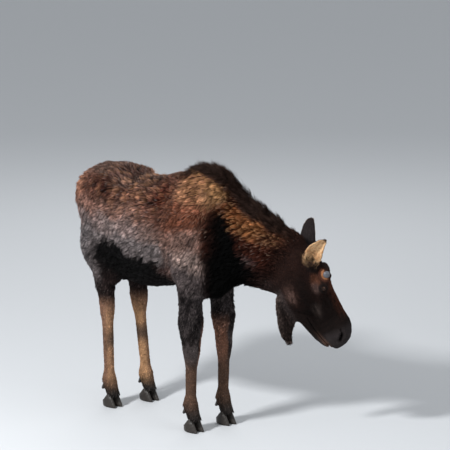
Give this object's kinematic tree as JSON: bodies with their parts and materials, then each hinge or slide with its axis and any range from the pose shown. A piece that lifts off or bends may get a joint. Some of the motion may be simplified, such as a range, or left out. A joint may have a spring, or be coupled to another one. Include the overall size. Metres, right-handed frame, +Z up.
{
  "type": "moose",
  "caption": "Young bull moose with shed antlers, standing square with its neck turned left and its muzzle lowered to feed; coat, bell, ears and cloven hooves",
  "frame": {"origin": "the middle of the bottom of the box of the whole animal, on the floor", "axes": "+X forward along the trunk, +Y the animal's left, +Z up"},
  "size_m": [1.965, 0.896, 1.7492],
  "materials": {
    "brown_coat": "long brown winter coat over hide",
    "dark_coat": "short blackish coat over hide",
    "buff_coat": "short buff hair of the inner ear",
    "horn": "dark satin hoof horn",
    "antler_scar": "grey, slightly glossy bone scar",
    "eye": "wet dark brown eye"
  },
  "bodies": {
    "root": {"neck": "brown_coat", "head": "brown_coat", "muzzle": "dark_coat", "lower_jaw": "dark_coat", "bell": "dark_coat", "tail": "brown_coat", "ear_right": "buff_coat", "ear_left": "brown_coat", "eye_right": "eye", "eye_left": "eye", "pedicle_right": "antler_scar", "pedicle_left": "antler_scar", "leg_fore_right_upper": "dark_coat", "leg_fore_right_lower": "dark_coat", "hoof_fore_right_outer": "horn", "dewclaw_fore_right_outer": "horn", "hoof_fore_right_inner": "horn", "dewclaw_fore_right_inner": "horn", "leg_fore_left_upper": "dark_coat", "leg_fore_left_lower": "dark_coat", "hoof_fore_left_outer": "horn", "dewclaw_fore_left_outer": "horn", "hoof_fore_left_inner": "horn", "dewclaw_fore_left_inner": "horn", "leg_hind_right_upper": "dark_coat", "leg_hind_right_lower": "dark_coat", "hoof_hind_right_outer": "horn", "dewclaw_hind_right_outer": "horn", "hoof_hind_right_inner": "horn", "dewclaw_hind_right_inner": "horn", "leg_hind_left_upper": "dark_coat", "leg_hind_left_lower": "dark_coat", "hoof_hind_left_outer": "horn", "dewclaw_hind_left_outer": "horn", "hoof_hind_left_inner": "horn", "dewclaw_hind_left_inner": "horn", "trunk": "brown_coat"}
  },
  "joints": []
}
